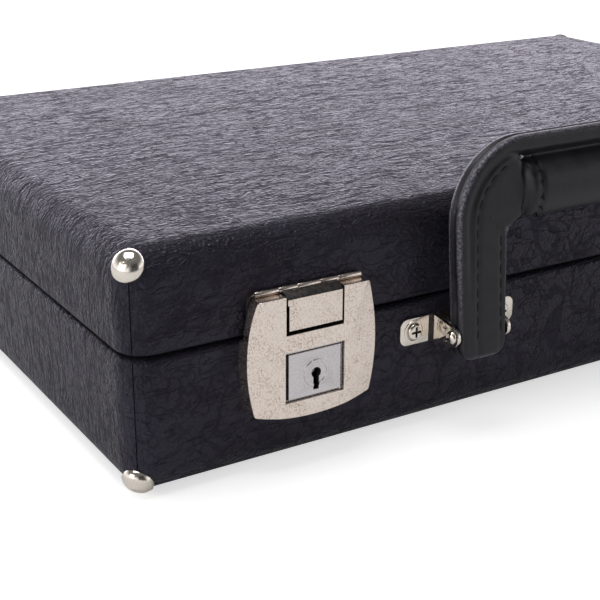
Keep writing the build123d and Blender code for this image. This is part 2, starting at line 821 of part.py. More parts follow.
def hasp(x):
    """Tongue between the columns, hung from its knuckles, with two lugs on its back."""
    front = lock_depth - hasp_flush
    low = hasp_slot_bottom + hasp_bottom_gap
    half = hasp_slot_half - hasp_gap
    shoulder = hasp_axis_height - hasp_shoulder_drop
    leaf_start = hasp_axis_out + knuckle_radius + knuckle_gap
    with BuildPart() as tongue:
        with BuildSketch(side_plane(x + half)):
            with BuildLine():
                Polyline(
                    (front, low),
                    (front, shoulder - hasp_bevel),
                    (front - hasp_bevel, shoulder),
                    (leaf_start, shoulder + hasp_leaf_rise),
                    (leaf_start, shoulder + hasp_leaf_rise - hasp_sheet),
                    (front - hasp_bevel_inner, shoulder - hasp_sheet),
                    (front - hasp_sheet, shoulder - hasp_bevel_inner),
                    (front - hasp_sheet, low),
                    close=True,
                )
            make_face()
        extrude(amount=2 * half)
        for low_x, high_x in barrel_spans("hasp"):
            with BuildSketch(side_plane(x + min(high_x, half))):
                with BuildLine():
                    Polyline(
                        (leaf_start + hasp_web_reach, shoulder + hasp_leaf_rise - fit_gap),
                        (hasp_axis_out, hasp_axis_height + knuckle_radius - 2 * fit_gap),
                        (hasp_axis_out, hasp_axis_height - hasp_web_half),
                        (leaf_start + hasp_web_reach, shoulder + hasp_leaf_rise - hasp_sheet),
                        close=True,
                    )
                make_face()
            extrude(amount=min(high_x, half) - max(low_x, -half))
        add_knuckles(x, barrel_spans("hasp"))
        cut_pin_hole(x)
        for lug_x in (bolt_lug_x, catch_lug_x):
            front_box(
                x, lug_x - lug_thickness / 2, lug_x + lug_thickness / 2, lug_low, lug_high,
                lug_back, front - hasp_sheet,
            )
        with BuildSketch(side_plane(x + bolt_lug_x + lug_thickness)):
            with Locations((bolt_finger_back + bolt_finger_thickness / 2, bolt_height)):
                Rectangle(
                    bolt_finger_thickness + 2 * bolt_hole_gap, bolt_finger_width + 2 * bolt_hole_gap
                )
        extrude(amount=2 * lug_thickness, mode=Mode.SUBTRACT)
    return tongue.part


def lid_plate(x, side):
    """Plate on the lid behind the cover, with the three outer knuckles of the hasp hinge."""
    knuckle_room = hasp_axis_height - knuckle_radius - 2 * knuckle_gap
    with BuildPart() as plate:
        with BuildSketch(face_plane(x)):
            with Locations((0, (lid_plate_low + hasp_axis_height) / 2)):
                RectangleRounded(
                    2 * lid_plate_half, hasp_axis_height - lid_plate_low, lid_plate_corner
                )
        extrude(amount=back_plate_thickness)
        add_knuckles(x, barrel_spans("lid"))
        for low_x, high_x in barrel_spans("lid"):
            front_box(
                x, low_x, high_x, hasp_axis_height - knuckle_radius + fit_gap, hasp_axis_height,
                fit_gap, hasp_axis_out,
            )
        for low_x, high_x in barrel_spans("hasp"):
            front_box(
                x, low_x - knuckle_gap, high_x + knuckle_gap,
                knuckle_room, hasp_axis_height + 2 * knuckle_radius,
                -1, 2 * hasp_axis_out, mode=Mode.SUBTRACT,
            )
        cut_pin_hole(x)
        with BuildSketch(face_plane(out=-1)):
            with Locations(*lid_rivet_points(side)):
                Circle(rivet_radius + shank_gap)
        extrude(amount=back_plate_thickness + 2, mode=Mode.SUBTRACT)
    return plate.part


def add_rivets(points, head_out):
    """Rivets whose heads stand at head_out, through the front wall to their tails inside."""
    with BuildSketch(face_plane(out=head_out)) as heads:
        with Locations(*points):
            Circle(rivet_head_radius)
    extrude(heads.sketch, amount=rivet_head)
    with BuildSketch(face_plane(out=-wall)) as shanks:
        with Locations(*points):
            Circle(rivet_radius)
    extrude(shanks.sketch, amount=wall + head_out)
    with BuildSketch(face_plane(out=-wall)) as tails:
        with Locations(*points):
            Circle(rivet_tail_radius)
    extrude(tails.sketch, amount=rivet_tail)


for side, x in lock_xs.items():
    save(lock_cover(x), f"{side}_lock_cover")
    save(lock_back_plate(x, side), f"{side}_lock_back_plate")
    save(lock_button(x), f"{side}_lock_button")
    save(lock_bolt(x), f"{side}_lock_bolt")
    save(catch_spring(x), f"{side}_catch_spring")
    save(hasp(x), f"{side}_hasp")
    save(lid_plate(x, side), f"{side}_lid_plate")

with BuildPart() as lock_rivets:
    for side in lock_xs:
        points = rivet_points(side)
        add_rivets(points[:-1], back_plate_thickness)
        add_rivets(points[-1:], back_plate_thickness + spring_thickness)
save(lock_rivets.part, "lock_rivets")

with BuildPart() as lid_plate_rivets:
    add_rivets(lid_rivets, back_plate_thickness)
save(lid_plate_rivets.part, "lid_plate_rivets")

with BuildPart() as hasp_pins:
    for x in lock_xs.values():
        with BuildSketch(side_plane(x + barrel_half)):
            with Locations((hasp_axis_out, hasp_axis_height)):
                Circle(hasp_pin_radius)
        extrude(amount=2 * barrel_half)
save(hasp_pins.part, "hasp_pins")


# Handle brackets, their screws and pins
def handle_bracket(x):
    """Screwed strip with two ears that taper out to the handle's pin."""
    with BuildPart() as bracket:
        with BuildSketch(face_plane(x)):
            with Locations((0, bracket_height)):
                RectangleRounded(bracket_length, bracket_width, bracket_corner)
        extrude(amount=bracket_plate)
        for outer_side in (-ear_outer, ear_outer - ear_thickness):
            with BuildSketch(side_plane(x + outer_side + ear_thickness)):
                with Locations((handle_axis_out, bracket_height)):
                    Circle(ear_tip_radius)
                with Locations((bracket_plate / 2, bracket_height)):
                    Rectangle(bracket_plate, ear_root_width)
                make_hull()
            extrude(amount=ear_thickness)
        bends = bracket.edges().filter_by(Axis.Z).filter_by(
            lambda e: abs(abs(e.center().X - x) - ear_outer) < 0.01
            and abs(e.center().Y - front_y + bracket_plate) < 0.01
        )
        fillet(bends, ear_bend_radius)
        reach = bracket_length / 2 - screw_inset
        with BuildSketch(face_plane(x, bracket_plate)):
            with Locations((-reach, bracket_height), (reach, bracket_height)):
                Circle(screw_ring_radius)
                Circle(screw_ring_radius - screw_ring_width, mode=Mode.SUBTRACT)
        extrude(amount=screw_ring_rise)
        with BuildSketch(face_plane(x)):
            with Locations((-reach, bracket_height), (reach, bracket_height)):
                Circle(screw_shank_radius + shank_gap)
        extrude(amount=bracket_plate, mode=Mode.SUBTRACT)
        with BuildSketch(side_plane(x + ear_outer)):
            with Locations((handle_axis_out, bracket_height)):
                Circle(handle_pin_radius + running_gap)
        extrude(amount=2 * ear_outer, mode=Mode.SUBTRACT)
    return bracket.part


for side, x in bracket_xs.items():
    save(handle_bracket(x), f"{side}_handle_bracket")

with BuildPart() as bracket_screws:
    with BuildSketch(face_plane(out=bracket_plate)) as heads:
        with Locations(*screw_points()):
            Circle(screw_head_radius)
    extrude(heads.sketch, amount=screw_head_height)
    head_ends = bracket_screws.edges().filter_by(
        lambda e: abs(e.center().Y - front_y + bracket_plate + screw_head_height) < 0.01
    )
    fillet(head_ends, screw_head_edge)
    with BuildSketch(face_plane(out=bracket_plate)) as shanks:
        with Locations(*screw_points()):
            Circle(screw_shank_radius)
    extrude(shanks.sketch, amount=-bracket_plate - screw_shank_length)
save(bracket_screws.part, "bracket_screws")

with BuildPart() as handle_pins:
    for x in bracket_xs.values():
        with BuildSketch(side_plane(x + ear_outer)):
            with Locations((handle_axis_out, bracket_height)):
                Circle(handle_pin_radius)
        extrude(amount=2 * ear_outer)
        for sign in (-1, 1):
            with BuildSketch(side_plane(x + sign * ear_outer)):
                with Locations((handle_axis_out, bracket_height)):
                    Circle(pin_head_radius)
            extrude(amount=-sign * pin_head_height)
            head_end = handle_pins.edges().filter_by(
                lambda e: abs(e.center().X - x - sign * (ear_outer + pin_head_height)) < 0.01
            )
            chamfer(head_end, pin_head_edge)
save(handle_pins.part, "handle_pins")

# Handle: two layers of leather on a steel core, with an oval grip between the legs
lean_cos = cos(radians(handle_lean))
lean_sin = sin(radians(handle_lean))
handle_plane = Plane(
    origin=(0, front_y - handle_axis_out, bracket_height),
    x_dir=(1, 0, 0),
    z_dir=(0, -lean_cos, lean_sin),
)
leg_x = bracket_xs["right"]
grip_half_length = leg_x - grip_start


def handle_section(x):
    """A plane across the handle: sketch X runs through its thickness, sketch Y up its height."""
    return Plane(
        origin=(x, front_y - handle_axis_out, bracket_height),
        x_dir=(0, -lean_cos, lean_sin),
        z_dir=(-1, 0, 0),
    )


def handle_outline(plane, inset):
    """The handle's outline in its own plane: two legs joined by the top."""
    half = leg_half_width - inset
    foot = leg_foot_half - inset
    top = handle_rise - inset
    bottom = inset - leg_foot_drop
    inner_top = handle_inner_rise + inset
    with BuildSketch(plane) as outline:
        with BuildLine():
            Polyline(
                (0, top),
                (leg_x + half, top),
                (leg_x + half, leg_straight_from),
                (leg_x + foot, bottom),
                (leg_x - foot, bottom),
                (leg_x - half, leg_straight_from),
                (leg_x - half, inner_top),
                (0, inner_top),
                close=True,
            )
        make_face()
        mirror(about=Plane.YZ)
        outer = outline.vertices().filter_by(
            lambda v: abs(v.Y - top) < 0.01 and abs(v.X) > leg_x
        )
        fillet(outer, handle_corner_radius - inset)
        inner = outline.vertices().filter_by(
            lambda v: abs(v.Y - inner_top) < 0.01 and abs(v.X) > leg_x - leg_half_width - 1
        )
        fillet(inner, handle_inner_radius + inset)
        feet = outline.vertices().filter_by(lambda v: abs(v.Y - bottom) < 0.01)
        fillet(feet, leg_foot_radius - inset)
    return outline.sketch


def cut_bush_bores():
    with BuildSketch(handle_section(leg_x + 2 * leg_half_width)) as bore:
        Circle(handle_pin_radius + running_gap + bush_wall + fit_gap)
    extrude(bore.sketch, amount=2 * leg_x + 4 * leg_half_width, mode=Mode.SUBTRACT)


with BuildPart() as handle_core_strip:
    core_start = handle_plane.offset(-handle_core / 2 + fit_gap)
    extrude(handle_outline(core_start, handle_core_inset), amount=handle_core - 2 * fit_gap)
    with BuildSketch(core_start):
        Rectangle(4 * leg_x, 2 * core_foot_rise)
        with Locations((0, -leg_foot_drop)):
            Rectangle(4 * leg_x, 2 * leg_foot_drop)
    extrude(amount=handle_core, mode=Mode.SUBTRACT)
save(handle_core_strip.part, "handle_core")

with BuildPart() as handle_grip:
    with BuildSketch(handle_section(grip_half_length)):
        with Locations((0, grip_rise)):
            Ellipse(grip_half_thickness, grip_half_height)
    extrude(amount=2 * grip_half_length)
    fillet(handle_grip.faces().filter_by(Axis.X).edges(), grip_end_radius)
    add(handle_core_strip.part, mode=Mode.SUBTRACT)
save(handle_grip.part, "handle_grip")

for name, direction in (("front", 1), ("back", -1)):
    layer = (handle_thickness - handle_core) / 2
    start = handle_plane.offset(handle_core / 2 if direction > 0 else -handle_thickness / 2)
    with BuildPart() as handle_leather:
        extrude(handle_outline(start, 0), amount=layer)
        cut_bush_bores()
        with BuildSketch(handle_section(grip_half_length)):
            with Locations((0, grip_rise)):
                Ellipse(grip_half_thickness, grip_half_height)
        extrude(amount=2 * grip_half_length, mode=Mode.SUBTRACT)
        groove_out = direction * (handle_thickness / 2 + flange_groove_radius - flange_groove_depth)
        with BuildSketch(handle_section(grip_half_length)):
            with Locations((groove_out, flange_groove_rise)):
                Circle(flange_groove_radius)
        extrude(amount=2 * grip_half_length, mode=Mode.SUBTRACT)
    save(handle_leather.part, f"handle_{name}_leather")

with BuildPart() as handle_bushes:
    bush_half = ear_outer - ear_thickness - lining_gap
    for x in bracket_xs.values():
        with BuildSketch(handle_section(x + bush_half)):
            Circle(handle_pin_radius + running_gap + bush_wall)
            Circle(handle_pin_radius + running_gap, mode=Mode.SUBTRACT)
        extrude(amount=2 * bush_half)
save(handle_bushes.part, "handle_bushes")

# Back hinges
hinge_axis_out = hinge_knuckle_radius + fit_gap


def hinge_knuckle_spans(owner):
    """Spans of one leaf's knuckles along the hinge, from its middle."""
    pitch = hinge_width / hinge_knuckles
    first = 0 if owner == "base" else 1
    starts = [-hinge_width / 2 + i * pitch for i in range(first, hinge_knuckles, 2)]
    end_gap = hinge_knuckle_gap / 2
    return [(start + end_gap, start + pitch - end_gap) for start in starts]


def back_section(x):
    """A plane across the hinge: sketch X is the distance out from the back face, sketch Y is Z."""
    return Plane(origin=(x, back_y, 0), x_dir=(0, 1, 0), z_dir=(1, 0, 0))


def hinge_leaf_part(x, owner):
    """One leaf on the back face, with its knuckles and countersunk holes."""
    sign = -1 if owner == "base" else 1
    reach = hinge_knuckle_radius + hinge_leaf
    notch = hinge_knuckle_radius + 2 * hinge_knuckle_gap
    other = "lid" if owner == "base" else "base"
    with BuildPart() as leaf:
        with BuildSketch(back_plane(x)):
            with Locations((0, seam_height + sign * reach / 2)):
                Rectangle(hinge_width, reach)
        extrude(amount=hinge_leaf_thickness)
        far_corners = leaf.edges().filter_by(Axis.Y).filter_by(
            lambda e: abs(e.center().Z - seam_height - sign * reach) < 0.01
        )
        fillet(far_corners, hinge_corner)
        for low, high in hinge_knuckle_spans(owner):
            with BuildSketch(back_section(x + low)):
                with Locations((hinge_axis_out, seam_height)):
                    Circle(hinge_knuckle_radius)
            extrude(amount=high - low)
        for low, high in hinge_knuckle_spans(other):
            with BuildSketch(back_section(x + low - hinge_knuckle_gap)):
                with Locations((0, seam_height)):
                    Rectangle(4 * hinge_knuckle_radius, 2 * notch)
            extrude(amount=high - low + 2 * hinge_knuckle_gap, mode=Mode.SUBTRACT)
        with BuildSketch(back_section(x - hinge_width / 2)):
            with Locations((hinge_axis_out, seam_height)):
                Circle(hinge_pin_radius + running_gap)
        extrude(amount=hinge_width, mode=Mode.SUBTRACT)
        level = seam_height + sign * (hinge_knuckle_radius + hinge_leaf / 2)
        with BuildSketch(back_plane(x, hinge_leaf_thickness)):
            with Locations(*[(s * hinge_screw_spread, level) for s in (-1, 0, 1)]):
                Circle(hinge_screw_radius + shank_gap)
        extrude(amount=-hinge_leaf_thickness, taper=45, mode=Mode.SUBTRACT)
    return leaf.part


for side, x in hinge_xs.items():
    save(hinge_leaf_part(x, "base"), f"{side}_base_hinge_leaf")
    save(hinge_leaf_part(x, "lid"), f"{side}_lid_hinge_leaf")

with BuildPart() as hinge_pins:
    for x in hinge_xs.values():
        with BuildSketch(back_section(x - hinge_width / 2)):
            with Locations((hinge_axis_out, seam_height)):
                Circle(hinge_pin_radius)
        extrude(amount=hinge_width)
save(hinge_pins.part, "hinge_pins")

for half, points in hinge_screws.items():
    with BuildPart() as screws:
        with BuildSketch(back_plane(out=hinge_leaf_thickness)):
            with Locations(*points):
                Circle(hinge_screw_radius)
        extrude(amount=-hinge_leaf_thickness, taper=45)
        with BuildSketch(back_plane()):
            with Locations(*points):
                Circle(hinge_screw_shank)
        extrude(amount=-hinge_screw_length)
    save(screws.part, f"{half}_hinge_screws")
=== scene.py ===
import json
import math

import bpy
from mathutils import Matrix, Vector


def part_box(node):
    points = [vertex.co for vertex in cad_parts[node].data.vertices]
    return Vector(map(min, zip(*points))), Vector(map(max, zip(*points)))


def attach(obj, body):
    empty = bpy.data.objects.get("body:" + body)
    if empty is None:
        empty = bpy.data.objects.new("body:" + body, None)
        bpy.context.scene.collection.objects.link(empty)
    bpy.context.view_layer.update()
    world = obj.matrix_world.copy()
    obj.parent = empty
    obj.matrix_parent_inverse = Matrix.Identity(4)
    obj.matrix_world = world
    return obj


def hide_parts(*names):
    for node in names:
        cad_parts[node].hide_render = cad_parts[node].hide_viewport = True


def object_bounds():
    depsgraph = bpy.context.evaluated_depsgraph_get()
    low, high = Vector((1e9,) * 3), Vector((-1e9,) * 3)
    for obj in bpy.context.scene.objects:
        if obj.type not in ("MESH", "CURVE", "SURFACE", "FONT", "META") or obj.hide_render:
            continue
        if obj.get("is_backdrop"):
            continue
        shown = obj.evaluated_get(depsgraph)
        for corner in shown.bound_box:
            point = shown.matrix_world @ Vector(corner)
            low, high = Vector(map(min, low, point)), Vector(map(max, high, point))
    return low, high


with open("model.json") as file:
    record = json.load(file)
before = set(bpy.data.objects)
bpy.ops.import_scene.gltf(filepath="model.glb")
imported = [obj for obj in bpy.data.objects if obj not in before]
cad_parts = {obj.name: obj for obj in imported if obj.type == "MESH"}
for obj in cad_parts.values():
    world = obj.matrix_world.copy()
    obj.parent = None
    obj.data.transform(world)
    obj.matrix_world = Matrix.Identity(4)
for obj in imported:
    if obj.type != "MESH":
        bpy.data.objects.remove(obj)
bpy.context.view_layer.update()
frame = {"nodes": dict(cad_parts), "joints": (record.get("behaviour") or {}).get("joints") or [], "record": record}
nodes = frame["nodes"]
bodies = frame["record"]["behaviour"]["bodies"]
body_of = {name: body for body, names in bodies.items() for name in names}
MM = 0.001


# Working by hand in Blender
def deselect():
    bpy.ops.object.select_all(action="DESELECT")


def pick(obj):
    deselect()
    obj.select_set(True)
    bpy.context.view_layer.objects.active = obj


def settle(obj):
    """Puts the object's place into its mesh, as a CAD node's is."""
    pick(obj)
    bpy.ops.object.transform_apply(location=True, rotation=True, scale=True)


def modify(obj, kind, **settings):
    """Adds one modifier with its settings and applies it."""
    pick(obj)
    modifier = obj.modifiers.new(kind.title(), kind)
    for name, value in settings.items():
        setattr(modifier, name, value)
    bpy.ops.object.modifier_apply(modifier=modifier.name)


def name_piece(obj, name):
    obj.name = name
    obj.data.name = name


def copy_node(node, name):
    """A piece that starts as a copy of a CAD node, with its loose triangles joined into faces."""
    source = nodes[node]
    piece = bpy.data.objects.new(name, source.data.copy())
    bpy.context.scene.collection.objects.link(piece)
    pick(piece)
    bpy.ops.object.mode_set(mode="EDIT")
    bpy.ops.mesh.select_all(action="SELECT")
    bpy.ops.mesh.remove_doubles(threshold=0.001 * MM)
    bpy.ops.mesh.customdata_custom_splitnormals_clear()
    bpy.ops.object.mode_set(mode="OBJECT")
    return piece


def join(pieces, name):
    deselect()
    for piece in pieces:
        piece.select_set(True)
    bpy.context.view_layer.objects.active = pieces[0]
    bpy.ops.object.join()
    name_piece(pieces[0], name)
    return pieces[0]


def duplicate(piece):
    twin = piece.copy()
    twin.data = piece.data.copy()
    bpy.context.scene.collection.objects.link(twin)
    return twin


def smooth(obj, angle):
    pick(obj)
    bpy.ops.object.shade_smooth_by_angle(angle=math.radians(angle))


def fit(piece, material, body, slot, *replaced):
    """Gives a finished piece its material and its body, and hides the nodes that it stands for; slot is not used.
    """
    piece.data.materials.clear()
    piece.data.materials.append(material)
    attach(piece, body)
    if replaced:
        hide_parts(*replaced)


# Materials
def linear(code):
    """An sRGB hex value as linear colour."""
    channels = [int(code[i:i + 2], 16) / 255 for i in (0, 2, 4)]
    return [c / 12.92 if c <= 0.04045 else ((c + 0.055) / 1.055) ** 2.4 for c in channels] + [1]


def put(tree, kind, sockets=None, **settings):
    """Adds a node. Each socket's value is a number, a colour or the output that feeds it."""
    node = tree.nodes.new(kind)
    for name, value in settings.items():
        setattr(node, name, value)
    for socket, value in (sockets or {}).items():
        if isinstance(value, bpy.types.NodeSocket):
            tree.links.new(value, node.inputs[socket])
        else:
            node.inputs[socket].default_value = value
    return node.outputs


def new_material(name):
    material = bpy.data.materials.new(name)
    material.use_nodes = True
    tree = material.node_tree
    tree.nodes.clear()
    place = put(tree, "ShaderNodeTexCoord")["Object"]
    millimetres = put(tree, "ShaderNodeVectorMath", {0: place, 3: 1000.0}, operation="SCALE")[0]
    return material, tree, millimetres


# Creased cow hide, drum tanned so that it shrinks into folds, then dyed black and glued round the
# boards. Fine creases run along the lid and down its ends, about 2.4 mm apart, and wider ones
# cross them. Between them is the hide's grain, drawn a little coarser than the real cells of 0.8 mm
# so that it shows. The sheen on the crests is faintly violet.
def case_leather():
    material, tree, place = new_material("creased_cow_hide")
    middle = (0.5, 0.5, 0.5)  # of a noise, so that the drift goes both ways
    sway = put(tree, "ShaderNodeTexNoise", {"Vector": place, "Scale": 0.014, "Detail": 1.0})[1]
    swing = put(tree, "ShaderNodeVectorMath", {0: sway, 1: middle}, operation="SUBTRACT")[0]
    wide = put(tree, "ShaderNodeVectorMath", {0: swing, 3: 14.0}, operation="SCALE")[0]
    ripple = put(tree, "ShaderNodeTexNoise", {"Vector": place, "Scale": 0.11, "Detail": 2.0})[1]
    tremble = put(tree, "ShaderNodeVectorMath", {0: ripple, 1: middle}, operation="SUBTRACT")[0]
    fine = put(tree, "ShaderNodeVectorMath", {0: tremble, 3: 2.2}, operation="SCALE")[0]
    drift = put(tree, "ShaderNodeVectorMath", {0: wide, 1: fine})[0]
    warped = put(tree, "ShaderNodeVectorMath", {0: place, 1: drift})[0]

    def crease_lines(size, detail, width):
        """Thin lines along a noise's middle level, 0 in the line and 1 away from it. Size is how
        long the noise's grain is along X, Y and Z, in millimetres."""
        per_grain = [1 / length for length in size]
        scaled = put(
            tree, "ShaderNodeVectorMath", {0: warped, 1: per_grain}, operation="MULTIPLY"
        )[0]
        noise = put(
            tree, "ShaderNodeTexNoise",
            {"Vector": scaled, "Scale": 1.0, "Detail": detail, "Roughness": 0.5},
        )[0]
        away = put(
            tree, "ShaderNodeMath",
            {0: put(tree, "ShaderNodeMath", {0: noise, 1: 0.5}, operation="SUBTRACT")[0]},
            operation="ABSOLUTE",
        )[0]
        return put(
            tree, "ShaderNodeMapRange",
            {"Value": away, "From Min": 0.0, "From Max": width},
            interpolation_type="SMOOTHSTEP",
        )[0]

    folds = crease_lines((24.0, 2.4, 24.0), 1.0, 0.05)
    threads = crease_lines((6.0, 1.4, 6.0), 1.0, 0.07)
    slants = crease_lines((17.0, 11.0, 4.5), 2.0, 0.03)
    grain = put(
        tree, "ShaderNodeTexVoronoi", {"Vector": warped, "Scale": 0.9, "Smoothness": 0.3},
        feature="SMOOTH_F1",
    )[0]
    patches = put(tree, "ShaderNodeTexNoise", {"Vector": place, "Scale": 0.022, "Detail": 2.0})[0]
    creased = put(
        tree, "ShaderNodeMapRange",
        {"Value": patches, "From Min": 0.38, "From Max": 0.6, "To Min": 0.3, "To Max": 1.0},
        interpolation_type="SMOOTHSTEP",
    )[0]

    height = put(tree, "ShaderNodeMath", {0: folds, 1: 0.20}, operation="MULTIPLY")[0]
    height = put(tree, "ShaderNodeMath", {0: height, 1: creased}, operation="MULTIPLY")[0]
    for pattern, depth in ((threads, 0.12), (slants, 0.16), (grain, 0.22)):
        height = put(
            tree, "ShaderNodeMath", {0: pattern, 1: depth, 2: height}, operation="MULTIPLY_ADD"
        )[0]
    bump = put(tree, "ShaderNodeBump", {"Height": height, "Strength": 1.0, "Distance": MM})[0]

    tint = put(tree, "ShaderNodeTexNoise", {"Vector": place, "Scale": 0.05, "Detail": 3.0})[0]
    colour = put(
        tree, "ShaderNodeMix",
        {
            "Factor": put(
                tree, "ShaderNodeMapRange",
                {"Value": tint, "From Min": 0.3, "From Max": 0.7},
                interpolation_type="SMOOTHSTEP",
            )[0],
            6: linear("19171d"),
            7: linear("25232c"),
        },
        data_type="RGBA",
    )[2]
    # Painted highlight, partly wear: the grain's cell tops are lightened, standing in for the light that their
    # crests catch.
    wear_and_highlight = put(
        tree, "ShaderNodeMath",
        {
            0: put(
                tree, "ShaderNodeMapRange",
                {"Value": grain, "From Min": 0.55, "From Max": 0.2},
                interpolation_type="SMOOTHSTEP",
            )[0],
            1: 0.25,
        },
        operation="MULTIPLY",
    )[0]
    colour = put(
        tree, "ShaderNodeMix", {"Factor": wear_and_highlight, 6: colour, 7: linear("3d3a45")}, data_type="RGBA"
    )[2]
    # Painted shade: the slanting creases are darkened to near black.
    painted_crease_shade = put(
        tree, "ShaderNodeMath",
        {
            0: put(
                tree, "ShaderNodeMapRange",
                {"Value": slants, "From Min": 0.7, "From Max": 0.0},
                interpolation_type="SMOOTHSTEP",
            )[0],
            1: 0.7,
        },
        operation="MULTIPLY",
    )[0]
    colour = put(
        tree, "ShaderNodeMix", {"Factor": painted_crease_shade, 6: colour, 7: linear("0c0a0f")}, data_type="RGBA"
    )[2]
    rough = put(
        tree, "ShaderNodeMapRange",
        {
            "Value": put(tree, "ShaderNodeMath", {0: folds, 1: threads}, operation="MULTIPLY")[0],
            "To Min": 0.7,
            "To Max": 0.37,
        },
        interpolation_type="SMOOTHSTEP",
    )[0]
    shader = put(
        tree, "ShaderNodeBsdfPrincipled",
        {
            "Base Color": colour, "Roughness": rough, "Normal": bump, "IOR": 1.5,
            "Specular IOR Level": 0.33, "Specular Tint": linear("e9e2ff"),
            "Sheen Weight": 0.06, "Sheen Roughness": 0.3,
            "Sheen Tint": linear("b9b2c8"),
        },
    )[0]
    put(tree, "ShaderNodeOutputMaterial", {"Surface": shader})
    return material


# Bridle leather for the handle: smooth-grained, waxed and pressed, so it shows only faint pores.
def handle_leather():
    material, tree, place = new_material("waxed_bridle_leather")
    pores = put(
        tree, "ShaderNodeTexVoronoi", {"Vector": place, "Scale": 1.6, "Smoothness": 0.5},
        feature="SMOOTH_F1",
    )[0]
    press = put(tree, "ShaderNodeTexNoise", {"Vector": place, "Scale": 0.22, "Detail": 3.0})[0]
    height = put(tree, "ShaderNodeMath", {0: pores, 1: 0.03}, operation="MULTIPLY")[0]
    height = put(
        tree, "ShaderNodeMath", {0: press, 1: 0.12, 2: height}, operation="MULTIPLY_ADD"
    )[0]
    bump = put(tree, "ShaderNodeBump", {"Height": height, "Strength": 1.0, "Distance": MM})[0]
    colour = put(
        tree, "ShaderNodeMix",
        {
            "Factor": put(
                tree, "ShaderNodeMapRange",
                {"Value": press, "From Min": 0.35, "From Max": 0.65},
                interpolation_type="SMOOTHSTEP",
            )[0],
            6: linear("131217"),
            7: linear("1e1d24"),
        },
        data_type="RGBA",
    )[2]
    # Painted highlight, partly wear: the layers' edges are lightened and speckled, standing in for the light that
    # their rounded edges catch.
    rim = put(tree, "ShaderNodeAttribute", attribute_name="rim_wear_and_highlight")["Fac"]
    rim_speckle = put(tree, "ShaderNodeTexNoise", {"Vector": place, "Scale": 1.3, "Detail": 3.0})[0]
    wear_and_highlight = put(
        tree, "ShaderNodeMath",
        {
            0: rim,
            1: put(
                tree, "ShaderNodeMapRange",
                {"Value": rim_speckle, "From Min": 0.42, "From Max": 0.6, "To Min": 0.25, "To Max": 1.0},
                interpolation_type="SMOOTHSTEP",
            )[0],
        },
        operation="MULTIPLY",
    )[0]
    colour = put(
        tree, "ShaderNodeMix", {"Factor": wear_and_highlight, 6: colour, 7: linear("77737e")}, data_type="RGBA"
    )[2]
    shader = put(
        tree, "ShaderNodeBsdfPrincipled",
        {
            "Base Color": colour,
            "Roughness": put(
                tree, "ShaderNodeMapRange",
                {"Value": press, "From Min": 0.3, "From Max": 0.7, "To Min": 0.36, "To Max": 0.46},
                interpolation_type="SMOOTHSTEP",
            )[0],
            "Normal": bump,
            "IOR": 1.5,
            "Specular IOR Level": 0.38,
            "Sheen Weight": 0.05,
            "Sheen Roughness": 0.4,
            "Sheen Tint": linear("a8a6bb"),
        },
    )[0]
    put(tree, "ShaderNodeOutputMaterial", {"Surface": shader})
    return material


# Waxed thread, black, laid in a groove: barely lighter than the leather.
def waxed_thread():
    material, tree, place = new_material("waxed_thread")
    twist = put(
        tree, "ShaderNodeTexWave", {"Vector": place, "Scale": 1.1, "Distortion": 0.4},
        bands_direction="DIAGONAL",
    )[1]
    bump = put(
        tree, "ShaderNodeBump",
        {
            "Height": put(tree, "ShaderNodeMath", {0: twist, 1: 0.06}, operation="MULTIPLY")[0],
            "Strength": 1.0,
            "Distance": MM,
        },
    )[0]
    colour = put(
        tree, "ShaderNodeMix",
        {"Factor": twist, 6: linear("08080a"), 7: linear("16161a")},
        data_type="RGBA",
    )[2]
    shader = put(
        tree, "ShaderNodeBsdfPrincipled",
        {"Base Color": colour, "Roughness": 0.55, "Normal": bump, "Specular IOR Level": 0.3},
    )[0]
    put(tree, "ShaderNodeOutputMaterial", {"Surface": shader})
    return material


# Bright nickel plated on stamped steel: warm white and glossy, worn to fine brown freckles.
def nickel(name, base, fleck, gloss, flecks):
    material, tree, place = new_material(name)
    spots = put(
        tree, "ShaderNodeTexNoise",
        {"Vector": place, "Scale": 1.9, "Detail": 4.0, "Roughness": 0.75},
    )[0]
    clouds = put(tree, "ShaderNodeTexNoise", {"Vector": place, "Scale": 0.16, "Detail": 2.0})[0]
    freckle = put(
        tree, "ShaderNodeMath",
        {
            0: put(
                tree, "ShaderNodeMapRange",
                {"Value": spots, "From Min": 0.46, "From Max": 0.64},
                interpolation_type="SMOOTHSTEP",
            )[0],
            1: put(
                tree, "ShaderNodeMapRange",
                {"Value": clouds, "From Min": 0.35, "From Max": 0.7, "To Min": 0.35, "To Max": 1.0},
                interpolation_type="SMOOTHSTEP",
            )[0],
        },
        operation="MULTIPLY",
    )[0]
    colour = put(
        tree, "ShaderNodeMix",
        {
            "Factor": put(tree, "ShaderNodeMath", {0: freckle, 1: flecks}, operation="MULTIPLY")[0],
            6: base,
            7: fleck,
        },
        data_type="RGBA",
    )[2]
    rough = put(
        tree, "ShaderNodeMapRange",
        {"Value": freckle, "To Min": gloss, "To Max": gloss + 0.16},
        interpolation_type="SMOOTHSTEP",
    )[0]
    height = put(tree, "ShaderNodeMath", {0: spots, 1: 0.006}, operation="MULTIPLY")[0]
    bump = put(tree, "ShaderNodeBump", {"Height": height, "Strength": 1.0, "Distance": MM})[0]
    shader = put(
        tree, "ShaderNodeBsdfPrincipled",
        {"Base Color": colour, "Metallic": 1.0, "Roughness": rough, "Normal": bump},
    )[0]
    put(tree, "ShaderNodeOutputMaterial", {"Surface": shader})
    return material
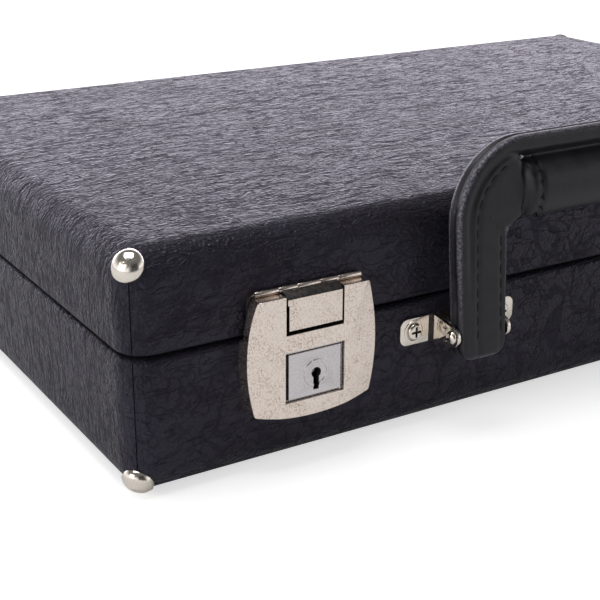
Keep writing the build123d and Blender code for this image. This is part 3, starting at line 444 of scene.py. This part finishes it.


# Painted shade for the fittings' gaps, recesses and bends: near-black nickel, mottled and hardly glossy, put where
# the dark falls inside them.
def shade_painted_nickel():
    material, tree, place = new_material("shade_painted_nickel")
    shade_mottle = put(tree, "ShaderNodeTexNoise", {"Vector": place, "Scale": 0.9, "Detail": 3.0})[0]
    colour = put(
        tree, "ShaderNodeMix",
        {
            "Factor": put(
                tree, "ShaderNodeMapRange",
                {"Value": shade_mottle, "From Min": 0.35, "From Max": 0.7},
                interpolation_type="SMOOTHSTEP",
            )[0],
            6: linear("121011"),
            7: linear("3b332f"),
        },
        data_type="RGBA",
    )[2]
    shader = put(
        tree, "ShaderNodeBsdfPrincipled",
        {
            "Base Color": colour,
            "Roughness": put(
                tree, "ShaderNodeMapRange",
                {"Value": shade_mottle, "From Min": 0.3, "From Max": 0.7, "To Min": 0.7, "To Max": 0.45},
                interpolation_type="SMOOTHSTEP",
            )[0],
        },
    )[0]
    put(tree, "ShaderNodeOutputMaterial", {"Surface": shader})
    return material


# Zinc plated steel, grey, with the faint grain of rolled sheet.
def rolled_steel(name, dark, light, roughness):
    material, tree, place = new_material(name)
    stretched = put(
        tree, "ShaderNodeVectorMath", {0: place, 1: (0.3, 2.5, 2.5)}, operation="MULTIPLY"
    )[0]
    streaks = put(tree, "ShaderNodeTexNoise", {"Vector": stretched, "Scale": 1.0, "Detail": 4.0})[0]
    colour = put(
        tree, "ShaderNodeMix",
        {
            "Factor": put(
                tree, "ShaderNodeMapRange",
                {"Value": streaks, "From Min": 0.35, "From Max": 0.65},
                interpolation_type="SMOOTHSTEP",
            )[0],
            6: dark,
            7: light,
        },
        data_type="RGBA",
    )[2]
    bump = put(
        tree, "ShaderNodeBump",
        {
            "Height": put(tree, "ShaderNodeMath", {0: streaks, 1: 0.01}, operation="MULTIPLY")[0],
            "Strength": 1.0,
            "Distance": MM,
        },
    )[0]
    shader = put(
        tree, "ShaderNodeBsdfPrincipled",
        {
            "Base Color": colour,
            "Metallic": 1.0,
            "Normal": bump,
            "Roughness": put(
                tree, "ShaderNodeMapRange",
                {
                    "Value": streaks,
                    "From Min": 0.3,
                    "From Max": 0.7,
                    "To Min": roughness,
                    "To Max": roughness + 0.12,
                },
                interpolation_type="SMOOTHSTEP",
            )[0],
        },
    )[0]
    put(tree, "ShaderNodeOutputMaterial", {"Surface": shader})
    return material


# Birch plywood, sawn: pale veneer with fine grain along the boards.
def birch_plywood():
    material, tree, place = new_material("birch_plywood")
    stretched = put(
        tree, "ShaderNodeVectorMath", {0: place, 1: (0.02, 0.35, 0.9)}, operation="MULTIPLY"
    )[0]
    grain = put(
        tree, "ShaderNodeTexNoise",
        {"Vector": stretched, "Scale": 1.0, "Detail": 5.0, "Roughness": 0.65, "Distortion": 0.6},
    )[0]
    colour = put(
        tree, "ShaderNodeMix",
        {
            "Factor": put(
                tree, "ShaderNodeMapRange",
                {"Value": grain, "From Min": 0.3, "From Max": 0.7},
                interpolation_type="SMOOTHSTEP",
            )[0],
            6: linear("b08a5c"),
            7: linear("dcbd8d"),
        },
        data_type="RGBA",
    )[2]
    bump = put(
        tree, "ShaderNodeBump",
        {
            "Height": put(tree, "ShaderNodeMath", {0: grain, 1: 0.12}, operation="MULTIPLY")[0],
            "Strength": 1.0,
            "Distance": MM,
        },
    )[0]
    shader = put(
        tree, "ShaderNodeBsdfPrincipled", {"Base Color": colour, "Roughness": 0.7, "Normal": bump}
    )[0]
    put(tree, "ShaderNodeOutputMaterial", {"Surface": shader})
    return material


# Short cotton velvet: a dense cut pile that brightens at its edges and shows brushed patches.
def velvet():
    material, tree, place = new_material("cotton_velvet")
    pile = put(
        tree, "ShaderNodeTexNoise", {"Vector": place, "Scale": 2.2, "Detail": 3.0, "Roughness": 0.7}
    )[0]
    brushed = put(
        tree, "ShaderNodeTexNoise",
        {"Vector": place, "Scale": 0.03, "Detail": 2.0, "Distortion": 1.2},
    )[0]
    shade = put(
        tree, "ShaderNodeMapRange",
        {"Value": brushed, "From Min": 0.35, "From Max": 0.65, "To Max": 0.6},
        interpolation_type="SMOOTHSTEP",
    )[0]
    shade = put(
        tree, "ShaderNodeMath", {0: pile, 1: 0.5, 2: shade}, operation="MULTIPLY_ADD"
    )[0]
    colour = put(
        tree, "ShaderNodeMix",
        {"Factor": shade, 6: linear("3a0c17"), 7: linear("6e1b2c")},
        data_type="RGBA",
    )[2]
    bump = put(
        tree, "ShaderNodeBump",
        {
            "Height": put(tree, "ShaderNodeMath", {0: pile, 1: 0.25}, operation="MULTIPLY")[0],
            "Strength": 0.8,
            "Distance": MM,
        },
    )[0]
    shader = put(
        tree, "ShaderNodeBsdfPrincipled",
        {
            "Base Color": colour, "Roughness": 0.9, "Normal": bump, "Specular IOR Level": 0.2,
            "Sheen Weight": 0.7, "Sheen Roughness": 0.35, "Sheen Tint": linear("c4556c"),
        },
    )[0]
    put(tree, "ShaderNodeOutputMaterial", {"Surface": shader})
    return material


leather = case_leather()
bridle = handle_leather()
thread = waxed_thread()
plate_nickel = nickel("worn_nickel_plate", linear("f2e6dc"), linear("a2806f"), 0.2, 0.75)
bright_nickel = nickel("bright_nickel_plate", linear("ece4da"), linear("a08a78"), 0.12, 0.2)
gap_shade = shade_painted_nickel()
satin_nickel = nickel("satin_nickel_plate", linear("d8d3d6"), linear("b39c93"), 0.26, 0.3)
zinc = rolled_steel("zinc_plated_steel", linear("8b8b8d"), linear("a9aaac"), 0.32)
blued = rolled_steel("blued_spring_steel", linear("3c4452"), linear("5a6270"), 0.3)
plywood = birch_plywood()
plush = velvet()
slot_material = {
    "case_leather": leather, "handle_leather": bridle, "nickel_plate": bright_nickel,
    "button_plate": satin_nickel, "zinc_steel": zinc, "spring_steel": blued,
    "plywood": plywood, "plush": plush,
}
slot_of = {row["node"]: row["material_slot"] for row in frame["record"]["subparts"]}
for node_name, node in nodes.items():
    node.data.materials.clear()
    node.data.materials.append(slot_material[slot_of[node_name]])


# Leather covers of the two halves
for half in ("base", "lid"):
    cover = copy_node(f"{half}_leather", f"{half}_leather_cover")
    smooth(cover, 40)
    fit(cover, leather, half, "case_leather", f"{half}_leather")


# Metal fittings: the stamped shapes with rounded edges, and painted shade, a near-black material, on the faces in
# their gaps, recesses and bends
def merge_flats(piece):
    pick(piece)
    bpy.ops.object.mode_set(mode="EDIT")
    bpy.ops.mesh.select_all(action="SELECT")
    bpy.ops.mesh.dissolve_limited(angle_limit=math.radians(0.5))
    bpy.ops.object.mode_set(mode="OBJECT")


def break_edges(piece, width, angle=35, segments=2):
    modify(
        piece, "BEVEL", width=width * MM, segments=segments, limit_method="ANGLE",
        angle_limit=math.radians(angle), use_clamp_overlap=True,
    )


def stamping(node, name, material, edge, body, slot="nickel_plate"):
    """A sheet fitting: the node's own shape with its sharp edges rounded off."""
    piece = copy_node(node, name)
    merge_flats(piece)
    break_edges(piece, edge)
    smooth(piece, 35)
    fit(piece, material, body, slot, node)
    return piece


def darken(piece, chosen):
    """Paints shade on the faces that are chosen by middle and normal, giving them the near-black material."""
    piece.data.materials.append(gap_shade)
    for face in piece.data.polygons:
        if chosen(face.center, face.normal):
            face.material_index = 1


def recess(piece, size, centre):
    """Cuts a square-edged recess, of this size in millimetres, and paints shade on its walls with the near-black
    material.
    """
    deselect()
    bpy.ops.mesh.primitive_cube_add(size=1, location=centre)
    cutter = bpy.context.object
    cutter.scale = [length * MM for length in size]
    settle(cutter)
    cutter.data.materials.append(gap_shade)
    modify(
        piece, "BOOLEAN", object=cutter, operation="DIFFERENCE", solver="EXACT",
        material_mode="TRANSFER",
    )
    bpy.data.objects.remove(cutter)


case_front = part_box("base_leather")[0].y
plate_half = 9.35 * MM  # half the width of the tongue and of the button's face
for side in ("left", "right"):
    cover_low, cover_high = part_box(f"{side}_lock_cover")
    button_low, button_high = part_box(f"{side}_lock_button")
    hasp_low, hasp_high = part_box(f"{side}_hasp")
    bracket_low, bracket_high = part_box(f"{side}_handle_bracket")
    lock_x = (cover_low.x + cover_high.x) / 2
    bracket_x = (bracket_low.x + bracket_high.x) / 2

    cover = stamping(f"{side}_lock_cover", f"{side}_lock_stamping", plate_nickel, 0.3, "base")
    smooth(cover, 10)
    # Painted shade: the cover's back-facing faces and its set-back faces round the window are near black.
    darken(
        cover,
        lambda p, n: n.y > 0.5 or p.y > cover_low.y + 0.9 * MM and abs(p.x - lock_x) < 11.7 * MM,
    )
    tongue = stamping(f"{side}_hasp", f"{side}_hasp_stamping", plate_nickel, 0.22, f"{side}_hasp")
    # Painted shade on the tongue's upward, back and side faces below its top, which sit in the cover's gaps.
    darken(
        tongue,
        lambda p, n: n.z > 0.35 and p.z < hasp_high.z - 0.6 * MM
        or p.z < hasp_high.z - 2.1 * MM and (p.y > hasp_low.y + 1.3 * MM or abs(n.x) > 0.9),
    )
    # The gaps beside and under the tongue are widened, with painted shade on their walls.
    recess(tongue, (0.9, 6, 16.6), (lock_x - plate_half, hasp_low.y, hasp_low.z))
    recess(tongue, (30, 6, 0.7), (lock_x, hasp_low.y, hasp_low.z))
    button = stamping(
        f"{side}_lock_button", f"{side}_lock_button_stamping", satin_nickel, 0.1,
        f"{side}_button", "button_plate",
    )
    # Painted shade on the button's side walls and in the slits cut at its edges.
    darken(button, lambda p, n: abs(n.y) < 0.4 and p.y > button_low.y + 0.4 * MM)
    for edge_x in (lock_x - plate_half, lock_x + plate_half):
        recess(button, (0.6, 2, 40), (edge_x, button_low.y, button_low.z))
    plate = stamping(f"{side}_lid_plate", f"{side}_lid_plate_stamping", plate_nickel, 0.12, "lid")
    # Painted shade on the lid plate's lower part, behind the tongue.
    darken(plate, lambda p, n: p.z < hasp_high.z - 2.6 * MM)
    strip = stamping(
        f"{side}_handle_bracket", f"{side}_bracket_strip", bright_nickel, 0.2, "base"
    )
    # Painted shadow: a near-black band across the bracket where its ears bend.
    darken(
        strip,
        lambda p, n: 9.6 * MM < abs(p.x - bracket_x) < 12.4 * MM and p.y > case_front - 2.2 * MM,
    )

for name in ("handle_pins", "base_studs", "lid_studs"):
    piece = copy_node(name, f"{name}_polished")
    smooth(piece, 50)
    fit(piece, bright_nickel, body_of[name], "nickel_plate", name)

for side in ("left", "right"):
    for half in ("base", "lid"):
        stamping(
            f"{side}_{half}_hinge_leaf", f"{side}_{half}_hinge_stamping", bright_nickel, 0.15, half
        )


# Screws: domed heads with a crossed recess on the brackets, flat slotted heads on the hinges; the recesses' walls
# get painted shade
def screw_heads(node, name, body):
    piece = copy_node(node, name)
    smooth(piece, 40)
    fit(piece, bright_nickel, body, "nickel_plate", node)
    # The second material paints shade on the walls of the recesses cut below.
    piece.data.materials.append(gap_shade)
    return piece


screws = screw_heads("bracket_screws", "bracket_screws_crossed", "base")
low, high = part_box("bracket_screws")
level = (low.z + high.z) / 2
head = (high.z - low.z) / 2
bracket_half = (high.x - low.x) / 2 - head - bracket_high.x + (bracket_high.x - bracket_low.x) / 2
for x in (-bracket_x, bracket_x):
    for reach in (-bracket_half, bracket_half):
        recess(screws, (0.8, 1.7, 3.6), (x + reach, low.y, level))
        recess(screws, (3.6, 1.7, 0.8), (x + reach, low.y, level))

hinge_spread = 14 * MM
for half in ("base", "lid"):
    screws = screw_heads(f"{half}_hinge_screws", f"{half}_hinge_screws_slotted", half)
    low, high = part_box(f"{half}_hinge_screws")
    level = (low.z + high.z) / 2
    hinge_x = high.x - (high.z - low.z) / 2 - hinge_spread
    for x in (-hinge_x, hinge_x):
        for step in (-1, 0, 1):
            recess(screws, (5.6, 1.2, 0.8), (x + step * hinge_spread, high.y, level))


# Handle: two moulded layers of bridle leather over a padded roll, stitched near both edges. They
# are shaped flat, X along the handle, Y up it and Z out of its front, and then leant on the case.
handle_joint = next(j for j in frame["joints"] if j["name"] == "handle_swing")
lean = 5  # degrees that the standing handle leans back
upright = Matrix.Rotation(math.radians(90 - lean), 4, "X")
handle_place = Matrix.Translation(handle_joint["pos_m"]) @ upright
outer_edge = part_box("handle_front_leather")[1].x
inner_edge = 2 * bracket_x - outer_edge
corner_radius = 26 * MM
handle_top = 60.6 * MM
corner_x = outer_edge - corner_radius
corner_y = handle_top - corner_radius
roll_middle = 43.3 * MM
roll_end = 49.2 * MM
ring_x = 44.5 * MM  # the ring of stitches round the roll
ring_stitches = 14
outer_row_inset = 7 * MM
inner_row_inset = 2.9 * MM
foot = -8.1 * MM
leg_top = 33 * MM  # where the leg's inner edge turns into the roll's underside


def bell(distance, width):
    return math.exp(-((distance / width) ** 2))


def ease(value, low, high):
    share = min(max((value - low) / (high - low), 0.0), 1.0)
    return share * share * (3 - 2 * share)


def from_outer_edge(x, y):
    """How far a point of the flat handle lies inside its outer edge."""
    if y < corner_y:
        return outer_edge - x
    if x > corner_x:
        return corner_radius - math.hypot(x - corner_x, y - corner_y)
    return handle_top - y


def mould(point):
    """Presses the valleys, the collars and the stitch lines into one point of the flat handle."""
    x, y, z = abs(point.x), point.y, abs(point.z)
    inset = from_outer_edge(x, y)
    along_top = ease(x, 56 * MM, 47 * MM)
    valley = (4.4 + 2.9 * along_top) * MM
    depth = (0.75 * ease(y, 4 * MM, 38 * MM) + 1.35 * along_top) * MM
    press = depth * bell(inset - valley, (0.9 + 0.6 * along_top) * MM)
    on_roll = ease(abs(y - roll_middle), 11.5 * MM, 9.5 * MM)
    press += 1.5 * MM * bell(x - roll_end, 1.1 * MM) * on_roll
    collar = ease(x, ring_x - 0.6 * MM, ring_x + 0.6 * MM) * ease(x, roll_end + MM, roll_end)
    press += 0.5 * MM * collar * on_roll + 0.35 * MM * bell(x - ring_x, 0.6 * MM) * on_roll
    press += 0.3 * MM * bell(inset - outer_row_inset, 0.7 * MM) * (1 - along_top)
    press += 0.3 * MM * bell(x - inner_edge - inner_row_inset, 0.7 * MM) * ease(y, leg_top, 30 * MM)
    press *= ease(z, 0.8 * MM, 2.4 * MM)
    edge = min(inset, x - inner_edge) if y < leg_top else inset
    press += 0.5 * MM * bell(edge, 0.7 * MM) * ease(z, 0.8 * MM, 2.4 * MM)
    return Vector((point.x, point.y, math.copysign(z - press, point.z)))


moulded = join(
    [
        copy_node(node, node + "_start")
        for node in ("handle_front_leather", "handle_back_leather", "handle_grip")
    ],
    "handle_moulded_leather",
)
moulded.matrix_world = handle_place.inverted()
settle(moulded)
modify(moulded, "REMESH", mode="VOXEL", voxel_size=0.75 * MM)
modify(moulded, "SMOOTH", factor=0.5, iterations=4)
# The attribute marks where the edges get the painted highlight, partly wear, in the leather's colour.
rims = moulded.data.attributes.new("rim_wear_and_highlight", "FLOAT", "POINT")
for vertex, rim in zip(moulded.data.vertices, rims.data):
    x, y, z = abs(vertex.co.x), vertex.co.y, abs(vertex.co.z)
    leg_inside = x - inner_edge if y < leg_top else 1.0
    edge = min(from_outer_edge(x, y), leg_inside, y - foot)
    rim.value = bell(edge, 0.8 * MM) * ease(z, 1.4 * MM, 2.6 * MM)
    seam = bell(z, 0.55 * MM) * ease(edge, 3.0 * MM, 1.5 * MM)
    vertex.co = mould(vertex.co)
    inward = vertex.normal.copy()
    inward.z = 0.0
    vertex.co -= inward * 0.7 * MM * seam
moulded.matrix_world = handle_place
settle(moulded)
smooth(moulded, 180)
fit(
    moulded, bridle, "handle", "handle_leather",
    "handle_front_leather", "handle_back_leather", "handle_grip",
)


# Thread of the handle: one stitch, copied along the rows that the two faces show
deselect()
bpy.ops.mesh.primitive_uv_sphere_add(segments=8, ring_count=5, radius=0.5)
stitch = bpy.context.object
stitch.scale = (3.3 * MM, 0.75 * MM, 0.6 * MM)
settle(stitch)
smooth(stitch, 180)


def sew(path, height):
    """Copies the stitch along a path of the flat handle, on both faces, height above its middle."""
    made = []
    for (x0, y0), (x1, y1) in zip(path, path[1:]):
        for face in (-1, 1):
            for end in (-1, 1):
                twin = duplicate(stitch)
                middle = Vector((end * (x0 + x1) / 2, (y0 + y1) / 2, face * height))
                turn = math.atan2(y1 - y0, end * (x1 - x0))
                twin.matrix_world = handle_place @ Matrix.Translation(middle) @ Matrix.Rotation(
                    turn, 4, "Z"
                )
                made.append(twin)
    return made


pitch = 4.6 * MM
outer_row = [(outer_edge - outer_row_inset, -2.4 * MM + pitch * n) for n in range(9)]
row_radius = corner_radius - outer_row_inset
outer_row += [
    (corner_x + row_radius * math.cos(a), corner_y + row_radius * math.sin(a))
    for a in [pitch / row_radius * n for n in range(1, 6)]
]
inner_row = [(inner_edge + inner_row_inset, -1.0 * MM + pitch * n) for n in range(8)]
inner_row += [(inner_edge + 5.6 * MM, 35.4 * MM), (inner_edge + 9.0 * MM, 38.6 * MM)]
threads = sew(outer_row, 3.1 * MM) + sew(inner_row, 3.1 * MM)
for end in (-1, 1):
    for n in range(ring_stitches):
        angle = math.radians(360 / ring_stitches * (n + 0.5))
        twin = duplicate(stitch)
        place = Matrix.Translation(
            (end * ring_x, roll_middle + 9.2 * MM * math.sin(angle), 6.5 * MM * math.cos(angle))
        )
        turn = Matrix.Rotation(angle, 4, "X") @ Matrix.Rotation(math.pi / 2, 4, "Z")
        twin.matrix_world = handle_place @ place @ turn
        threads.append(twin)
bpy.data.objects.remove(stitch)
threads = join(threads, "handle_stitching")
settle(threads)
fit(threads, thread, "handle", "handle_leather")


# Plush pads: wadding covered in velvet, glued down, so each is crowned and pulled in at its edges
def plump(node, name, body, shrink, cap):
    """Shrinks a pad, lets it swell by at most cap, in millimetres, and keeps it in its space."""
    pad = copy_node(node, name)
    low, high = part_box(node)
    modify(pad, "REMESH", mode="VOXEL", voxel_size=4 * MM)
    for vertex in pad.data.vertices:
        vertex.co -= vertex.normal * shrink * MM
    start = [vertex.co.copy() for vertex in pad.data.vertices]
    pick(pad)
    cloth = pad.modifiers.new("Cloth", "CLOTH")
    cloth.settings.use_pressure = True
    cloth.settings.uniform_pressure_force = 4.0
    cloth.settings.effector_weights.gravity = 0.0
    for step in range(1, 21):
        bpy.context.scene.frame_set(step)
    bpy.ops.object.modifier_apply(modifier=cloth.name)
    bpy.context.scene.frame_set(1)
    for vertex, was in zip(pad.data.vertices, start):
        moved = vertex.co - was
        if moved.length > cap * MM:
            vertex.co = was + moved * (cap * MM / moved.length)
    modify(pad, "SUBSURF", levels=1, render_levels=1)
    for vertex in pad.data.vertices:
        for axis in range(3):
            vertex.co[axis] = min(max(vertex.co[axis], low[axis]), high[axis])
    smooth(pad, 180)
    fit(pad, plush, body, "plush", node)


plump("floor_pad", "floor_plush_pad", "base", 0.3, 1.2)
plump("lid_pad", "lid_plush_pad", "lid", 1.2, 2.5)
for place in ("front", "middle", "back"):
    plump(f"long_divider_{place}", f"long_plush_divider_{place}", "base", 1.0, 1.4)
    plump(f"cross_block_{place}", f"cross_plush_block_{place}", "base", 1.0, 1.4)
for node, body in (("locating_rim", "base"), ("lid_lining", "lid")):
    piece = copy_node(node, f"{node}_velvet")
    merge_flats(piece)
    break_edges(piece, 0.4, 35, 3)
    smooth(piece, 40)
    fit(piece, plush, body, "plush", node)


# Stage, light and camera
def soft_lamp(name, place, size, power):
    """A square soft lamp that looks at the middle of the case."""
    data = bpy.data.lights.new(name, "AREA")
    data.size = size
    data.energy = power
    lamp = bpy.data.objects.new(name, data)
    bpy.context.scene.collection.objects.link(lamp)
    lamp.location = place
    aim = Vector((0.0, 0.0, 0.03))
    lamp.rotation_euler = (aim - Vector(place)).to_track_quat("-Z", "Y").to_euler()


soft_lamp("softbox_above", (-0.25, 0.15, 1.3), 0.9, 10.0)
soft_lamp("softbox_left", (-1.2, -0.25, 0.5), 0.7, 2.5)

bpy.ops.mesh.primitive_plane_add(size=12.0, location=(0, 0, 0))
floor = bpy.context.object
name_piece(floor, "studio_floor")
floor_material = bpy.data.materials.new("white_paper_floor")
floor_material.use_nodes = True
floor_tree = floor_material.node_tree
floor_tree.nodes.clear()
ray = put(floor_tree, "ShaderNodeLightPath")
mirrored = put(
    floor_tree, "ShaderNodeMath",
    {0: ray["Is Glossy Ray"], 1: ray["Is Transmission Ray"]},
    operation="MAXIMUM",
)[0]
glow = put(
    floor_tree, "ShaderNodeMath",
    {
        0: put(
            floor_tree, "ShaderNodeMath", {0: ray["Is Camera Ray"], 1: 0.62}, operation="MULTIPLY"
        )[0],
        1: put(floor_tree, "ShaderNodeMath", {0: mirrored, 1: 0.12}, operation="MULTIPLY")[0],
    },
    operation="ADD",
)[0]
paper = put(floor_tree, "ShaderNodeBsdfDiffuse", {"Color": linear("e8e8e8")})[0]
lit_paper = put(
    floor_tree, "ShaderNodeAddShader",
    {0: paper, 1: put(floor_tree, "ShaderNodeEmission", {"Strength": glow})[0]},
)[0]
put(floor_tree, "ShaderNodeOutputMaterial", {"Surface": lit_paper})
floor.data.materials.append(floor_material)
floor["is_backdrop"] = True

# The room: white near the horizon, as paper screens round a table are, with a dark ceiling, a dark
# place in front, where nothing is lit, and a bright window low at the back, which the lid mirrors
world = bpy.data.worlds.new("studio")
bpy.context.scene.world = world
world.use_nodes = True
sky = world.node_tree
sky.nodes.clear()
ray = put(sky, "ShaderNodeLightPath")
direction = put(sky, "ShaderNodeTexCoord")["Generated"]
rise = put(sky, "ShaderNodeSeparateXYZ", {0: direction})["Z"]
screens = put(
    sky, "ShaderNodeMapRange",
    {"Value": rise, "From Min": 0.16, "From Max": 0.62, "To Min": 1.1, "To Max": 0.16},
    interpolation_type="SMOOTHSTEP",
)[0]
towards_room = put(
    sky, "ShaderNodeVectorMath", {0: direction, 1: (-0.05, -0.98, 0.17)}, operation="DOT_PRODUCT"
)[1]
room = put(
    sky, "ShaderNodeMapRange",
    {"Value": towards_room, "From Min": 0.72, "From Max": 0.95, "To Min": 1.0, "To Max": 0.08},
    interpolation_type="SMOOTHSTEP",
)[0]
towards_back = put(
    sky, "ShaderNodeVectorMath", {0: direction, 1: (0.52, 0.85, 0.0)}, operation="DOT_PRODUCT"
)[1]
window = put(
    sky, "ShaderNodeMath",
    {
        0: put(
            sky, "ShaderNodeMapRange",
            {"Value": towards_back, "From Min": 0.4, "From Max": 0.85, "To Max": 2.9},
            interpolation_type="SMOOTHSTEP",
        )[0],
        1: put(
            sky, "ShaderNodeMapRange",
            {"Value": rise, "From Min": 0.14, "From Max": 0.42, "To Min": 1.0, "To Max": 0.0},
            interpolation_type="SMOOTHSTEP",
        )[0],
    },
    operation="MULTIPLY",
)[0]
surround = put(
    sky, "ShaderNodeMath",
    {0: put(sky, "ShaderNodeMath", {0: screens, 1: room}, operation="MULTIPLY")[0], 1: window},
    operation="ADD",
)[0]
strength = put(
    sky, "ShaderNodeMix", {"Factor": ray["Is Camera Ray"], 2: surround, 3: 1.0}, data_type="FLOAT"
)[0]
unseen = put(
    sky, "ShaderNodeMath", {0: window, 1: ray["Is Camera Ray"]}, operation="SUBTRACT"
)[0]
daylight = put(
    sky, "ShaderNodeMix",
    {
        "Factor": put(
            sky, "ShaderNodeMapRange", {"Value": unseen}, interpolation_type="SMOOTHSTEP"
        )[0],
        6: linear("ffffff"),
        7: linear("f6f1ff"),
    },
    data_type="RGBA",
)[2]
put(
    sky, "ShaderNodeOutputWorld",
    {"Surface": put(sky, "ShaderNodeBackground", {"Color": daylight, "Strength": strength})[0]},
)

camera_data = bpy.data.cameras.new("camera")
camera_data.sensor_width = 36.0
camera_data.lens = 36.0 * 1259.8 / 600  # a focal length of 1259.8 pixels in a frame of 600
camera_data.clip_start = 0.01
camera = bpy.data.objects.new("camera", camera_data)
bpy.context.scene.collection.objects.link(camera)
camera.location = (-0.3050, -0.4071, 0.1849)
heading = Matrix.Rotation(math.radians(-31.52), 4, "Z")
downwards = Matrix.Rotation(math.radians(90 - 21.03), 4, "X")
roll = Matrix.Rotation(math.radians(0.21), 4, "Z")
camera.rotation_euler = (heading @ downwards @ roll).to_euler()
bpy.context.scene.camera = camera
bpy.context.scene.view_settings.view_transform = "Standard"

low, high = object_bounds()
